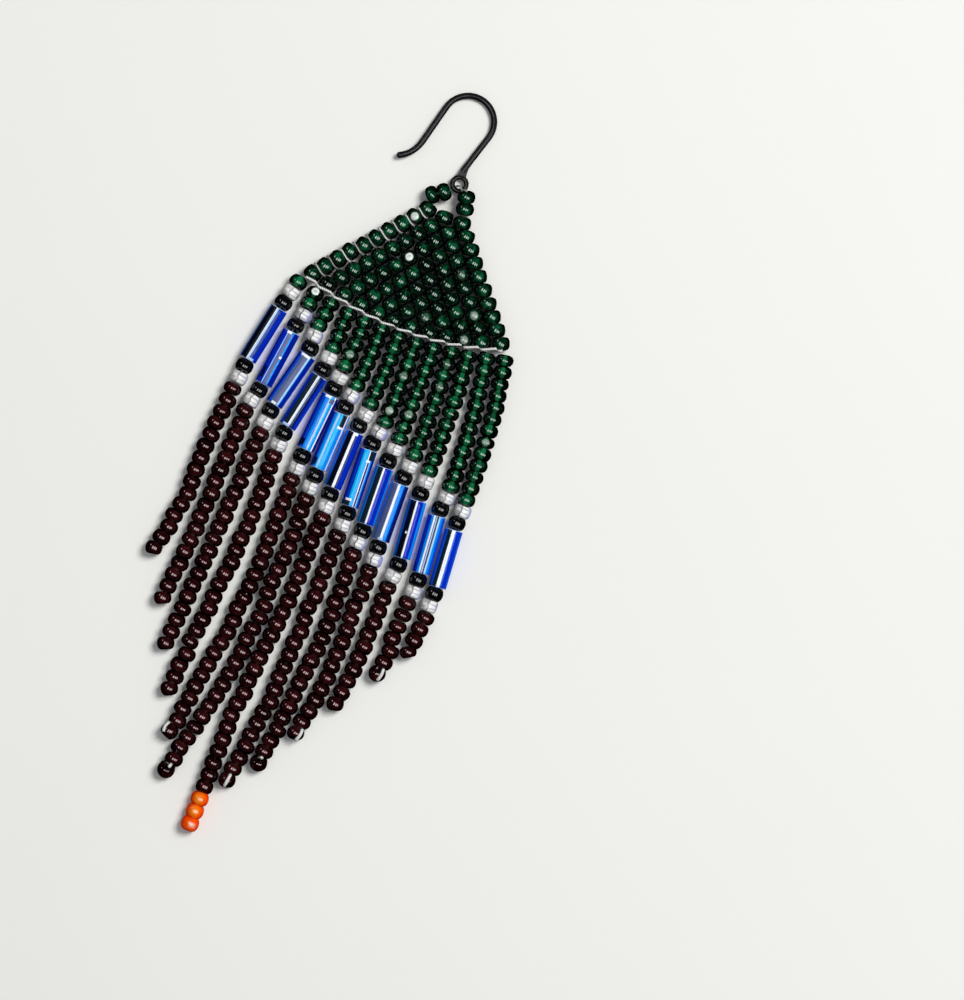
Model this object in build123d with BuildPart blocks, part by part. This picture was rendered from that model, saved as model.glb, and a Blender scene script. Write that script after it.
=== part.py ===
from build123d import *
from collections import namedtuple
from math import asin, cos, degrees, pi, radians, sin, tan
import os

# A beaded fringe earring, lying face up on a flat surface. A wire ear hook holds a small
# triangle of brick stitch by a thread through its eye, and thirteen strands of beads hang
# from the triangle's base: green beads, a crystal, a black bead, a long bugle bead, a black
# bead, a crystal, then a tail of brown beads. The longest tail ends in three orange beads.
#
# Millimetres. The middle of the hook's eye stands over x 0, y 0, the fringe points down -Y
# and the surface is at z 0. The pieces are written about the middle of their common box.
# Beads strung close together, and beads stitched to each other, are one solid.

# Round seed beads. A pitch is the length that one bead takes up on its thread.
seed_diameter = 2.0
seed_face_diameter = 1.1
seed_bore = 0.76
green_pitch = 1.385
crystal_pitch = 1.45
black_pitch = 1.5
brown_pitch = 1.46
orange_pitch = 1.52

# Long bugle beads
bugle_length = 6.85
bugle_diameter = 1.88
bugle_bore = 0.9

# Thread
thread_diameter = 0.22

# Clearances
bead_gap = 0.17
string_inset = 0.08
string_end_rounding = 0.4
panel_gap = 0.17
thread_room_gap = 0.1

# Corners of a route: the share of the shorter run that an arc takes up, and the turn in
# degrees under which two runs count as one
arc_share = 0.45
straight_turn = 0.01

# Brick stitch triangle: rows of beads side by side, one bead more in each row down
top_row_beads = 3
panel_rows = 10
column_pitch = 2.09
row_step = 1.27
base_sag = 1.95
base_rise = 0.84
base_bow = 0.35
panel_middle = -0.12
panel_top = -4.08
row_overlap = 0.1
row_edge_rounding = 0.4

# Ear hook, measured from the middle of its eye
hook_lean = 15.2
wire_diameter = 0.7
eye_ring_radius = 0.8
eye_wire_diameter = 0.56
eye_clearance = 0.36
stem_offset = 0.6
stem_length = 6.3
arch_radius = 3.0
leg_pinch = 3.0
leg_length = 4.8
tip_radius = 3.75
tip_turn = 54.0
tip_rounding = 0.3
neck_length = 2.66
neck_waist = (-0.12, 1.65)
neck_thickness = 0.4
neck_side_angle = 45.0

# Each strand from the left: its green and brown beads, and the lean of each stretch in
# degrees from straight down, to the right positive.
Strand = namedtuple(
    "Strand", "green brown green_top green_low upper bugle lower brown_top brown_mid brown_low"
)
strands = [
    Strand(1, 15, -11, -11, -13, -9.5, -3, -5, 3, -11),
    Strand(2, 17, -4, -4, -12, -6, -15, 0, 0, -4),
    Strand(3, 19, -7, -7, 5, -12, -4, 0, -2, -3),
    Strand(4, 21, 0, -1, -4, -10, -3, 3, -5, -3),
    Strand(5, 23, 1, -4, -3.5, -3, -1, 2, -4, -8.5),
    Strand(6, 25, 1, -4, -5.5, -1, 0, 2, -4, -12.5),
    Strand(7, 24, 2, -1.5, -8, 0, 4, 1, -5, 1),
    Strand(8, 22, 3, -0.5, -10, 4, 1, 1, -1, -6),
    Strand(9, 19, 3, 1.5, -6, 3.5, -1, 3.5, -3, -6),
    Strand(10, 15, 5, 1, -4, 3, 3, 0.5, 2.5, -9.5),
    Strand(11, 11, 6, 2, 0, 6.5, -4, 1, -0.5, -6),
    Strand(12, 7, 10, 4, -5, 6.5, 0, -2, 2.5, -5.5),
    Strand(13, 4, 11, 3.5, -1, 6, -3, 4, -2, -7.5),
]
orange_strand = 7
orange_beads_on_tip = 3
green_stretches = 2
brown_stretches = 3

# The thread passes the eye's ring this many degrees below its middle on either side
thread_side_angle = 48.0

# Beads between the triangle and the eye, along the thread: middle of each bead, how far it
# leans to the right from straight up, and how far its upper end is raised, in degrees.
Hanger = namedtuple("Hanger", "x y z lean pitch")
hanger = [
    Hanger(-2.38, -2.33, 1.0, 46, 0),
    Hanger(-1.25, -1.53, 1.0, 50, -12),
    Hanger(1.36, -1.14, 1.54, -18, 8),
    Hanger(1.66, -2.45, 1.12, -11, 12),
]

seed_radius = seed_diameter / 2
string_diameter = seed_diameter - 2 * string_inset
strand_count = top_row_beads + panel_rows


def row_point(row, share):
    """Point on a row's middle line, share -1 at its first bead and 1 at its last.

    Row 0 is the top row. Lower rows are longer, sag more and rise more to the right, and their
    middles lie a little to the right. The row after the last is the strands' first beads.
    """
    half = (top_row_beads + row - 1) / 2 * column_pitch
    level = panel_top - row * row_step
    rise = base_rise / 2 * row / panel_rows
    depth = (row + 1) / (panel_rows + 1)
    arch = 1 - share**2
    across = panel_middle + half * share + base_bow * depth * arch
    return Vector(across, level + rise * share - base_sag * depth * arch, seed_radius)


def heading(lean):
    """Direction along the surface that leans this many degrees from straight down."""
    return Vector(sin(radians(lean)), -cos(radians(lean)), 0)


def walk(start, leans, length):
    """Points of equal stretches that follow each other, one for each lean."""
    points = [start]
    for lean in leans:
        points.append(points[-1] + heading(lean) * length)
    return points


def strand_start(number):
    """Top of a strand, just under the triangle's last row."""
    share = -1 + 2 * (number - 1) / (strand_count - 1)
    first_bead = row_point(panel_rows, share)
    row_above = row_point(panel_rows - 1, share)
    room = (green_pitch + row_overlap) / 2 + panel_gap
    return Vector(first_bead.X, row_above.Y - room, seed_radius)


def strand_route(number):
    """Points of one strand's stretches: green, upper pair, bugle, lower pair, brown."""
    strand = strands[number - 1]
    pair = crystal_pitch + black_pitch
    green_leans = (strand.green_top, strand.green_low)
    brown_leans = (strand.brown_top, strand.brown_mid, strand.brown_low)
    green = walk(strand_start(number), green_leans, strand.green * green_pitch / green_stretches)
    upper = walk(green[-1], [strand.upper], pair)
    bugle = walk(upper[-1], [strand.bugle], bugle_length + bead_gap)
    lower = walk(bugle[-1], [strand.lower], pair)
    brown = walk(lower[-1], brown_leans, strand.brown * brown_pitch / brown_stretches)
    return green, upper, bugle, lower, brown


def shortened(points, start_cut, end_cut):
    """The same stretches with a little taken off the first and the last."""
    first = points[0] + (points[1] - points[0]).normalized() * start_cut
    last = points[-1] + (points[-2] - points[-1]).normalized() * end_cut
    return [first, *points[1:-1], last]


def without_straight_corners(points):
    """The points whose corners really turn."""
    kept = [points[0]]
    for corner, after in zip(points[1:], points[2:]):
        if (corner - kept[-1]).get_angle(after - corner) > straight_turn:
            kept.append(corner)
    return [*kept, points[-1]]


def corner_radii(points):
    """Largest tangent arc at each corner that both of its stretches have room for."""
    radii = []
    for before, corner, after in zip(points, points[1:], points[2:]):
        run_in, run_out = corner - before, after - corner
        half_turn = radians(run_in.get_angle(run_out)) / 2
        radii.append(arc_share * min(run_in.length, run_out.length) / tan(half_turn))
    return radii


def tube(name, points, diameter, end_rounding):
    """Round solid along straight runs joined by tangent arcs, with rounded ends."""
    corners = without_straight_corners(points)
    radii = corner_radii(corners)
    with BuildPart() as solid:
        with BuildLine() as route:
            if radii:
                FilletPolyline(*corners, radius=radii)
            else:
                Line(*corners)
        with BuildSketch(Plane(origin=route.line @ 0, z_dir=route.line % 0)):
            Circle(diameter / 2)
        sweep()
        if end_rounding:
            fillet(solid.faces().filter_by(GeomType.PLANE).edges(), radius=end_rounding)
    ideal = sum(edge.length for edge in route.edges()) * pi * diameter**2 / 4
    tightest = f"{min(radii):.1f}" if radii else "straight"
    print(f"{name}: radius {tightest}, volume {solid.part.volume / ideal:.3f} of section by length")
    return solid


def drilled_bead(pitch):
    """One seed bead about its own middle, its hole along Z, a gap shorter than its pitch."""
    half_length = (pitch - bead_gap) / 2
    face_radius = seed_face_diameter / 2
    with BuildPart(mode=Mode.PRIVATE) as bead:
        with BuildSketch(Plane.XZ):
            with BuildLine():
                bore_line = Line((seed_bore / 2, half_length), (seed_bore / 2, -half_length))
                low_face = Line(bore_line @ 1, (face_radius, -half_length))
                ThreePointArc(low_face @ 1, (seed_radius, 0), (face_radius, half_length))
                Line((face_radius, half_length), bore_line @ 0)
            make_face()
        revolve(axis=Axis.Z)
    return bead.part


def bead_place(middle, direction):
    """Location that turns a bead's hole along a direction."""
    return Plane(origin=middle, x_dir=(0, 0, 1), z_dir=direction).location


def pair_places(points, first_pitch, first_lean, second_lean):
    """Places of the two beads of a pair, in order down the strand."""
    along = (points[1] - points[0]).normalized()
    pair = (points[1] - points[0]).length
    first = points[0] + along * (first_pitch / 2)
    second = points[0] + along * ((first_pitch + pair) / 2)
    return bead_place(first, heading(first_lean)), bead_place(second, heading(second_lean))


def bead_node(pitch, places):
    """Loose drilled beads of one colour."""
    bead = drilled_bead(pitch)
    with BuildPart() as node:
        with Locations(*places):
            add(bead)
    return node


pieces = {}

# Ear hook: the wire lies in a plane that dips from the raised eye to the arch on the surface
eye_height = eye_clearance + eye_wire_diameter / 2
arch_reach = stem_length + arch_radius
hook_dip = degrees(asin((eye_height - wire_diameter / 2) / arch_reach))
hook_across = Vector(cos(radians(hook_lean)), -sin(radians(hook_lean)), 0)
hook_along = Vector(sin(radians(hook_lean)), cos(radians(hook_lean)), -tan(radians(hook_dip))).normalized()
hook_plane = Plane(origin=(0, 0, eye_height), x_dir=hook_across, z_dir=hook_across.cross(hook_along))
arch_centre = (-stem_offset - arch_radius, stem_length)
neck_side = Vector(eye_ring_radius, 0).rotate(Axis.Z, neck_side_angle)

with BuildPart() as ear_hook:
    with BuildLine(hook_plane) as hook_route:
        stem = Line((-stem_offset, neck_length / 2), (-stem_offset, stem_length))
        arch = CenterArc(arch_centre, arch_radius, 0, 180 + leg_pinch)
        leg = PolarLine(arch @ 1, leg_length, leg_pinch - 90)
        leg_end = hook_plane.to_local_coords(leg @ 1)
        tip_centre = leg_end - Vector(tip_radius, 0).rotate(Axis.Z, leg_pinch)
        tip_arc = CenterArc((tip_centre.X, tip_centre.Y), tip_radius, leg_pinch, -tip_turn)
    with BuildSketch(Plane(origin=stem @ 0, z_dir=stem % 0)):
        Circle(wire_diameter / 2)
    sweep()
    tip_face = ear_hook.faces().sort_by_distance(tip_arc @ 1)[0]
    fillet(tip_face.edges(), tip_rounding)
    with BuildSketch(hook_plane):
        with BuildLine():
            waist_arc = ThreePointArc(
                (wire_diameter / 2 - stem_offset, neck_length),
                neck_waist,
                (neck_side.X, neck_side.Y),
            )
            Line(waist_arc @ 1, (-eye_ring_radius, 0))
            Line((-eye_ring_radius, 0), (-stem_offset - wire_diameter / 2, neck_length))
            Line((-stem_offset - wire_diameter / 2, neck_length), waist_arc @ 0)
        make_face()
    extrude(amount=neck_thickness / 2, both=True)
    with BuildSketch(hook_plane):
        Circle(eye_ring_radius)
    extrude(amount=eye_wire_diameter, both=True, mode=Mode.SUBTRACT)
    with Locations(hook_plane.location):
        Torus(eye_ring_radius, eye_wire_diameter / 2)
pieces["ear_hook"] = ear_hook

# Brick stitch: one rounded bar for each row, grown into the next
row_height = green_pitch + row_overlap
with BuildPart() as brick_panel:
    for row in range(panel_rows):
        end_share = 1 + (string_diameter / column_pitch) / (top_row_beads + row - 1)
        with BuildLine() as row_line:
            ThreePointArc(row_point(row, -end_share), row_point(row, 0), row_point(row, end_share))
        with BuildSketch(Plane(origin=row_line.line @ 0, x_dir=(0, 0, 1), z_dir=row_line.line % 0)):
            RectangleRounded(string_diameter, row_height, row_edge_rounding)
        sweep()
pieces["brick_panel"] = brick_panel

# Beads and thread between the triangle and the eye. The thread leaves each bead along its hole,
# goes up through the eye from below its left side and comes down over its right side.
hanger_places, hanger_lows, hanger_highs = [], [], []
for bead in hanger:
    middle = Vector(bead.x, bead.y, bead.z)
    level = cos(radians(bead.pitch))
    up = Vector(sin(radians(bead.lean)) * level, cos(radians(bead.lean)) * level, sin(radians(bead.pitch)))
    hanger_places.append(bead_place(middle, up))
    hanger_lows.append(middle - up * green_pitch / 2)
    hanger_highs.append(middle + up * green_pitch / 2)
pieces["hanger_beads"] = bead_node(green_pitch, hanger_places)

thread_reach = eye_wire_diameter / 2 + thread_room_gap + thread_diameter / 2


def thread_point(side, radius, rise):
    """Point at a radius from the eye's middle, on its left (-1) or right (1) lower side."""
    return Vector(side * radius, 0, eye_height + rise).rotate(Axis.Z, -side * thread_side_angle)


right_exit = hanger_highs[2] + (hanger_highs[2] - hanger_lows[2]).normalized() * thread_room_gap
hanger_route = [
    hanger_lows[0],
    (hanger_highs[0] + hanger_lows[1]) / 2,
    hanger_highs[1],
    thread_point(-1, eye_ring_radius + thread_reach, -thread_reach),
    thread_point(-1, eye_ring_radius - thread_reach, -thread_reach),
    thread_point(1, eye_ring_radius - thread_reach, thread_reach),
    thread_point(1, eye_ring_radius, thread_reach),
    right_exit,
    (hanger_lows[2] + hanger_highs[3]) / 2,
    hanger_lows[3],
]
pieces["hanger_thread"] = tube("hanger_thread", hanger_route, thread_diameter, 0)

# Strands
crystal_places, black_places, accent_routes = [], [], []
for number in range(1, strand_count + 1):
    strand = strands[number - 1]
    green, upper, bugle, lower, brown = strand_route(number)
    half_gap = bead_gap / 2

    green_name = f"green_string_{number:02d}"
    green_line = shortened(green, 0, half_gap)
    pieces[green_name] = tube(green_name, green_line, string_diameter, string_end_rounding)

    brown_name = f"brown_string_{number:02d}"
    brown_line = shortened(brown, half_gap, half_gap)
    pieces[brown_name] = tube(brown_name, brown_line, string_diameter, string_end_rounding)

    below_green = (strand.green_low + strand.upper) / 2
    above_bugle = (strand.upper + strand.bugle) / 2
    below_bugle = (strand.bugle + strand.lower) / 2
    above_brown = (strand.lower + strand.brown_top) / 2
    crystal, black = pair_places(upper, crystal_pitch, below_green, above_bugle)
    crystal_places.append(crystal)
    black_places.append(black)
    black, crystal = pair_places(lower, black_pitch, below_bugle, above_brown)
    crystal_places.append(crystal)
    black_places.append(black)
    accent_routes.append(shortened([upper[0], *bugle, lower[1]], half_gap, half_gap))

    with BuildPart() as bugle_bead:
        along = heading(strand.bugle)
        with BuildSketch(Plane(origin=bugle[0] + along * half_gap, z_dir=along)):
            Circle(bugle_diameter / 2)
            Circle(bugle_bore / 2, mode=Mode.SUBTRACT)
        extrude(amount=bugle_length)
    pieces[f"bugle_bead_{number:02d}"] = bugle_bead

pieces["crystal_beads"] = bead_node(crystal_pitch, crystal_places)
pieces["black_beads"] = bead_node(black_pitch, black_places)

# Orange beads below the longest tail
tail_end = strand_route(orange_strand)[-1][-1]
tail_lean = strands[orange_strand - 1].brown_low
tip = walk(tail_end, [tail_lean] * orange_beads_on_tip, orange_pitch)
orange_places = [
    bead_place((above + below) / 2, heading(tail_lean)) for above, below in zip(tip, tip[1:])
]
pieces["orange_beads"] = bead_node(orange_pitch, orange_places)
accent_routes.append(shortened([tip[0], tip[-1]], half_gap, half_gap))

with BuildPart() as accent_threads:
    for route in accent_routes:
        corners = without_straight_corners(route)
        with BuildLine() as thread_line:
            if len(corners) > 2:
                FilletPolyline(*corners, radius=corner_radii(corners))
            else:
                Line(*corners)
        with BuildSketch(Plane(origin=thread_line.line @ 0, z_dir=thread_line.line % 0)):
            Circle(thread_diameter / 2)
        sweep()
pieces["accent_threads"] = accent_threads

# Written about the middle of the whole earring's box, on the surface
whole = Compound(children=[Compound(piece.part.wrapped) for piece in pieces.values()]).bounding_box()
to_origin = Location((-whole.center().X, -whole.center().Y, -whole.min.Z))
os.makedirs("parts", exist_ok=True)
for name, piece in pieces.items():
    placed = piece.part.moved(to_origin)
    placed.label = name
    export_step(placed, f"parts/{name}.step")

print(f"box {whole.size.X:.2f} x {whole.size.Y:.2f} x {whole.size.Z:.2f}")
print(f"eye middle at {-whole.center().X:.3f}, {-whole.center().Y:.3f}, {eye_height - whole.min.Z:.3f}")
arch_middle = hook_plane.from_local_coords((arch_centre[0], arch_centre[1], 0))
print(f"arch middle at {(to_origin * Location(arch_middle)).position}")
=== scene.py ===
from collections import namedtuple

import bpy
import numpy as np
from mathutils import Matrix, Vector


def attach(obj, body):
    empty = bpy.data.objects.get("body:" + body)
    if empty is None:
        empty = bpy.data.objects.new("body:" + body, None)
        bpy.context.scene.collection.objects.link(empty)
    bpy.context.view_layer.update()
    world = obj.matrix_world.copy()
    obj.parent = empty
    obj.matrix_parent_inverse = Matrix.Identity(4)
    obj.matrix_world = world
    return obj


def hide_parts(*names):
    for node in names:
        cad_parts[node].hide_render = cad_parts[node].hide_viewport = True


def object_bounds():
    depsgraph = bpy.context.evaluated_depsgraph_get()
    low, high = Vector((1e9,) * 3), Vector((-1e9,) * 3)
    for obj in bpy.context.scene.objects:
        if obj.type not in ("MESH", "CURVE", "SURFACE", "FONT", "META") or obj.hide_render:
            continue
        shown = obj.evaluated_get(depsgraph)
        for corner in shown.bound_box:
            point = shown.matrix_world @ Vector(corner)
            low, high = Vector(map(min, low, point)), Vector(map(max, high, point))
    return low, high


# The looks of a beaded fringe earring that lies on a pale table. Lengths in this script are
# millimetres and become metres where Blender gets them. The earring's layout is the part's own,
# about EYE, the point of the table under the middle of the hook's eye in the shared frame.
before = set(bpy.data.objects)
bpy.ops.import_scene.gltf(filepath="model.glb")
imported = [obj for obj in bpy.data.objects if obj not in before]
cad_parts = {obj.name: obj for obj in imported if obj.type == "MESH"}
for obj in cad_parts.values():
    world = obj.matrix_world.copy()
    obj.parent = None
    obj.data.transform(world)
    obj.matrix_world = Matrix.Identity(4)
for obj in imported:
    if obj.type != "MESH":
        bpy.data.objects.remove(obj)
cad_low, cad_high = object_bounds()

MM = 0.001
EYE = np.array([0.518, 34.938, 0.0])
UP = np.array([0.0, 0.0, 1.0])
rng = np.random.default_rng(11)

# Beads and thread, as in the part, but for the bugles' radius: the part's bugles are thinner,
# because its solids stand clear of each other, where the photograph's nearly touch
SEED_RADIUS = 1.0
GREEN_PITCH, CRYSTAL_PITCH, BLACK_PITCH = 1.385, 1.45, 1.5
BROWN_PITCH, ORANGE_PITCH = 1.46, 1.52
BEAD_GAP = 0.17
BUGLE_LENGTH, BUGLE_RADIUS, BUGLE_BORE = 6.85, 1.025, 0.45
CUT_GLASS = (0.5, 0.62, 0.95)
THREAD_RADIUS = 0.11

# Brick stitch triangle, as in the part
TOP_ROW, ROWS, COLUMN_PITCH, ROW_STEP = 3, 10, 2.09, 1.27
SAG, RISE, BOW, MIDDLE, TOP = 1.95, 0.84, 0.35, -0.12, -4.08
ROW_OVERLAP, PANEL_GAP = 0.1, 0.17
STRANDS = TOP_ROW + ROWS
ORANGE_STRAND, ORANGE_BEADS = 7, 3

# Each strand from the left: beads, and leans in degrees from straight down, as in the part
Strand = namedtuple("Strand", "green brown green_top green_low upper bugle lower brown_top"
                    " brown_mid brown_low")
strands = [
    Strand(1, 15, -11, -11, -13, -9.5, -3, -5, 3, -11),
    Strand(2, 17, -4, -4, -12, -6, -15, 0, 0, -4),
    Strand(3, 19, -7, -7, 5, -12, -4, 0, -2, -3),
    Strand(4, 21, 0, -1, -4, -10, -3, 3, -5, -3),
    Strand(5, 23, 1, -4, -3.5, -3, -1, 2, -4, -8.5),
    Strand(6, 25, 1, -4, -5.5, -1, 0, 2, -4, -12.5),
    Strand(7, 24, 2, -1.5, -8, 0, 4, 1, -5, 1),
    Strand(8, 22, 3, -0.5, -10, 4, 1, 1, -1, -6),
    Strand(9, 19, 3, 1.5, -6, 3.5, -1, 3.5, -3, -6),
    Strand(10, 15, 5, 1, -4, 3, 3, 0.5, 2.5, -9.5),
    Strand(11, 11, 6, 2, 0, 6.5, -4, 1, -0.5, -6),
    Strand(12, 7, 10, 4, -5, 6.5, 0, -2, 2.5, -5.5),
    Strand(13, 4, 11, 3.5, -1, 6, -3, 4, -2, -7.5),
]

# Green beads between the triangle and the eye, as in the part
Hanger = namedtuple("Hanger", "x y z lean pitch")
hanger = [
    Hanger(-2.38, -2.33, 1.0, 46, 0),
    Hanger(-1.25, -1.53, 1.0, 50, -12),
    Hanger(1.36, -1.14, 1.54, -18, 8),
    Hanger(1.66, -2.45, 1.12, -11, 12),
]

# The last bead of each tail: the lean of its hole from straight down in degrees, how far the
# hole tips up, and its length. Where a thread shows on it, how far to the right of the bead's
# middle the thread lies, and from where to where along the strand, in millimetres.
Turn = namedtuple("Turn", "lean tip long right above below")
turns = [
    Turn(10, 0, 1.45, None, 0, 0), Turn(27, 0, 1.4, None, 0, 0), Turn(25, 6, 1.45, None, 0, 0),
    Turn(31, 12, 1.5, None, 0, 0), Turn(-22, 12, 1.5, -0.68, -0.85, 0.35),
    Turn(0, -48, 1.55, 0.17, -1.0, -0.45), Turn(None, 0, 1.45, None, 0, 0),
    Turn(12, 25, 1.6, 0.08, -0.8, 0.65), Turn(12, -42, 1.55, 0.05, -1.05, -0.65),
    Turn(12, 15, 1.5, 0.56, -0.8, 0.62), Turn(17, 10, 1.5, None, 0, 0),
    Turn(22, -35, 1.5, 0.5, -0.9, 0.65), Turn(32, 0, 1.3, None, 0, 0),
]

# Lengthwise bands across each bugle, from its left edge to its right, partly the blue of the glass
# and partly painted reflections, light and shade in it: a letter for the colour and a digit for its
# share of the width
bugle_bands = [
    "m1 k5 w1 l1 k1 m1 n1 r4",
    "r5 l1 m1 s3 a1 d3 r1",
    "r2 m2 s5 l1 a1 d2 r1",
    "a1 r2 t4 w1 l1 k1 n2 r2 m1",
    "r3 m1 r1 a4 l1 c2 a1 w1 d2",
    "r3 a2 c1 l1 c4 a3 w1 a1",
    "a1 m1 k4 w2 n1 r4",
    "r3 m1 r1 c5 a1 w1 n1 l1 a1 d2",
    "a2 t4 w2 r5 a1",
    "a1 s4 w2 a3 d1 n2",
    "a1 m1 k4 w2 r4 a2",
    "r3 a2 w1 d1 l1 t1 l1 a2 m2",
    "m2 t3 w2 a1 r3 m1",
]
band_colours = {
    "k": (0.002, 0.003, 0.006), "t": (0.006, 0.018, 0.03), "n": (0.002, 0.008, 0.12),
    "d": (0.001, 0.012, 0.3), "r": (0.001, 0.024, 0.5), "m": (0.003, 0.09, 0.72),
    "a": (0.003, 0.27, 0.95), "c": (0.0, 0.46, 1.0), "s": (0.085, 0.115, 0.26),
    "l": (0.45, 0.66, 1.0), "w": (0.95, 0.97, 1.0), "v": (0.001, 0.004, 0.04),
}

# Short patches of painted light and shade on a bugle, such as a pale glint at a cut end and the
# dark refraction of a neighbouring black bead: its number, where it starts and ends along and
# across, and colour
Block = namedtuple("Block", "bugle start end left right colour")
bugle_light_patches = [
    Block(2, 0.46, 0.5, 0.6, 0.72, "w"), Block(2, 0.72, 0.9, 0.12, 0.28, "v"),
    Block(2, 0.0, 0.06, 0.3, 0.62, "w"), Block(3, 0.0, 0.05, 0.2, 0.75, "w"),
    Block(3, 0.95, 1.0, 0.3, 0.62, "w"), Block(5, 0.0, 0.05, 0.25, 0.6, "w"),
    Block(5, 0.82, 0.95, 0.04, 0.32, "v"), Block(5, 0.03, 0.14, 0.62, 0.85, "s"),
    Block(6, 0.0, 0.2, 0.66, 0.9, "t"), Block(6, 0.84, 0.97, 0.08, 0.28, "v"),
    Block(6, 0.2, 0.24, 0.62, 0.9, "w"), Block(8, 0.88, 0.93, 0.16, 0.5, "w"),
    Block(8, 0.93, 1.0, 0.04, 0.46, "t"), Block(8, 0.02, 0.18, 0.68, 0.95, "t"),
    Block(8, 0.18, 0.22, 0.62, 0.78, "w"), Block(11, 0.56, 0.6, 0.3, 0.42, "w"),
    Block(1, 0.95, 1.0, 0.5, 0.8, "l"), Block(7, 0.0, 0.06, 0.5, 0.75, "w"),
    Block(4, 0.95, 1.0, 0.2, 0.6, "l"), Block(10, 0.95, 1.0, 0.3, 0.6, "l"),
]

# Beads with a painted glare, a pale disc painted for the light off a flat face, and how bright:
# panel row and bead
Glare = namedtuple("Glare", "line bead light")
panel_glares = [
    Glare(4, 2, 1.0), Glare(1, 0, 0.8), Glare(7, 8, 0.3), Glare(9, 9, 0.28), Glare(8, 6, 0.06),
    Glare(4, 5, 0.06),
]
# The same in the strands: strand and bead, counted from 1
strand_glares = [
    Glare(2, 1, 1.0), Glare(5, 4, 0.26), Glare(8, 7, 0.4), Glare(8, 4, 0.16), Glare(9, 7, 0.24),
    Glare(10, 2, 0.05), Glare(13, 8, 0.3), Glare(10, 4, 0.1),
]
# The painted glare of the last orange bead, and how strong the painted green glow of light through
# the glass is on the last green bead of a strand and, at most, on a bead of the triangle, past what
# each has of its own
ORANGE_GLARE, LAST_GREEN_GLOW, EDGE_GREEN_GLOW = 0.55, 0.8, 0.4

# How seed beads differ: the slow sine of their lean, in radians from one bead to the next and at
# the first; the spread of their turn in radians; the most by which one is narrower; and the
# shares by which one is shorter or longer at most
LEAN_STEP, LEAN_START, TURN_SPREAD = 0.45, 1.0, 0.12
NARROWEST, SHORTEST, LONGEST = 0.05, -0.14, 0.03
# Places round the cut of a bead's wall in degrees, from its middle outside, for large beads
FINE_WALL = (-130, -105, -80, -58, -36, -14, 14, 36, 58, 80, 105, 130, 160, 200)

# The ball that a thread on a last bead hugs, and the least square of its height over the middle
HUG_RADIUS, HUG_LEAST = 1.06, 0.08
# Heights of the base thread, the side stitches and the threads between the rows, and where the
# last ones start, in columns from the first bead
SEAM_TOP, STITCH_HEIGHT, ROW_THREAD_HEIGHT, ROW_THREAD_START = 1.82, 1.2, 0.85, -0.36

# Scales of the patterns in the materials, among them the patches of the emeralds' painted green
# glow, in waves a metre, and of the bugles' streaks: across a bead, along it and from one bead to
# the next
BROAD_GRAIN, FINE_GRAIN, GREEN_GLOW_PATCHES = 900, 4200, 2300
WIRE_CLOUDS, WIRE_DRAW_MARKS, LOOP_FIBRE, TABLE_CLOUDS = 600, 6000, 5000, 14
STREAKS = (22.0, 1.1, 40.0)
# Ranges of roughness, and how strong the relief of the glass is
GLASS_ROUGHNESS, WIRE_ROUGHNESS, GLASS_RELIEF = (0.05, 0.16), (0.16, 0.3), 0.12

# Painted lilac light and glow on the table under the bugles: a parabola start + slope x + bend x x
# about EYE, and from where to where it fades out at its sides and at its ends
TINT_START, TINT_SLOPE, TINT_BEND = -34.3, -0.542, 0.0095
TINT_SIDES, TINT_ENDS = (2.4, 3.8), (13.2, 14.8)

# The camera looks straight down on the picture's middle, turned as the picture is
PICTURE_MIDDLE = EYE + np.array([16.27, -32.5, 0.0])
CAMERA_TURN, CAMERA_HEIGHT = np.radians(22.5), 450.0
PIXELS_A_MM, PICTURE_PIXELS = 8.7, 1000
TABLE_HALF = 900.0

# Lights: their way from the picture's middle as shares right and up in the picture of a distance,
# how high they hang, their sides, power, colour and spin, and what they light
Light = namedtuple("Light", "name right up distance rise wide high power colour spin glossy"
                   " diffuse")
WHITE = (1.0, 1.0, 1.0)
lights = [
    Light("key_softbox", 0.8, 0.5, 560, 760, 360, 360, 7.7, (1.0, 0.99, 0.97), 0.0, False, True),
    Light("ceiling_strip_1", -0.2, 0.05, 1000, 1000, 520, 250, 3.3, WHITE, 0.9, True, False),
    Light("ceiling_strip_2", 0.22, -0.16, 1000, 1000, 520, 250, 3.3, WHITE, 0.9, True, False),
    Light("ceiling_strip_3", 0.64, -0.37, 1000, 1000, 520, 250, 3.3, WHITE, 0.9, True, False),
    Light("window", -0.75, 0.66, 900, 700, 200, 300, 0.9, (0.95, 0.98, 1.0), 0.0, True, False),
]


# Places


def row_point(row, share):
    """Middles in a row of the triangle; share runs from -1 to 1.

    A straight row with a parabola of sag, a tilt that grows with the row and a sideways bow.
    """
    share = np.asarray(share, float)
    half = (TOP_ROW + row - 1) / 2 * COLUMN_PITCH
    depth = (row + 1) / (ROWS + 1)
    arch = 1 - share**2
    x = MIDDLE + half * share + BOW * depth * arch
    y = TOP - row * ROW_STEP + RISE / 2 * row / ROWS * share - SAG * depth * arch
    return np.stack([x, y, np.full_like(x, SEED_RADIUS)], -1)


def heading(lean):
    """Unit direction along the table that leans this many degrees from straight down."""
    a = np.radians(lean)
    return np.array([np.sin(a), -np.cos(a), 0.0])


def walk(start, leans, length):
    """Points of equal stretches that follow each other, one for each lean."""
    steps = np.stack([heading(lean) * length for lean in leans])
    return np.vstack([start, start + np.cumsum(steps, 0)])


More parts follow.
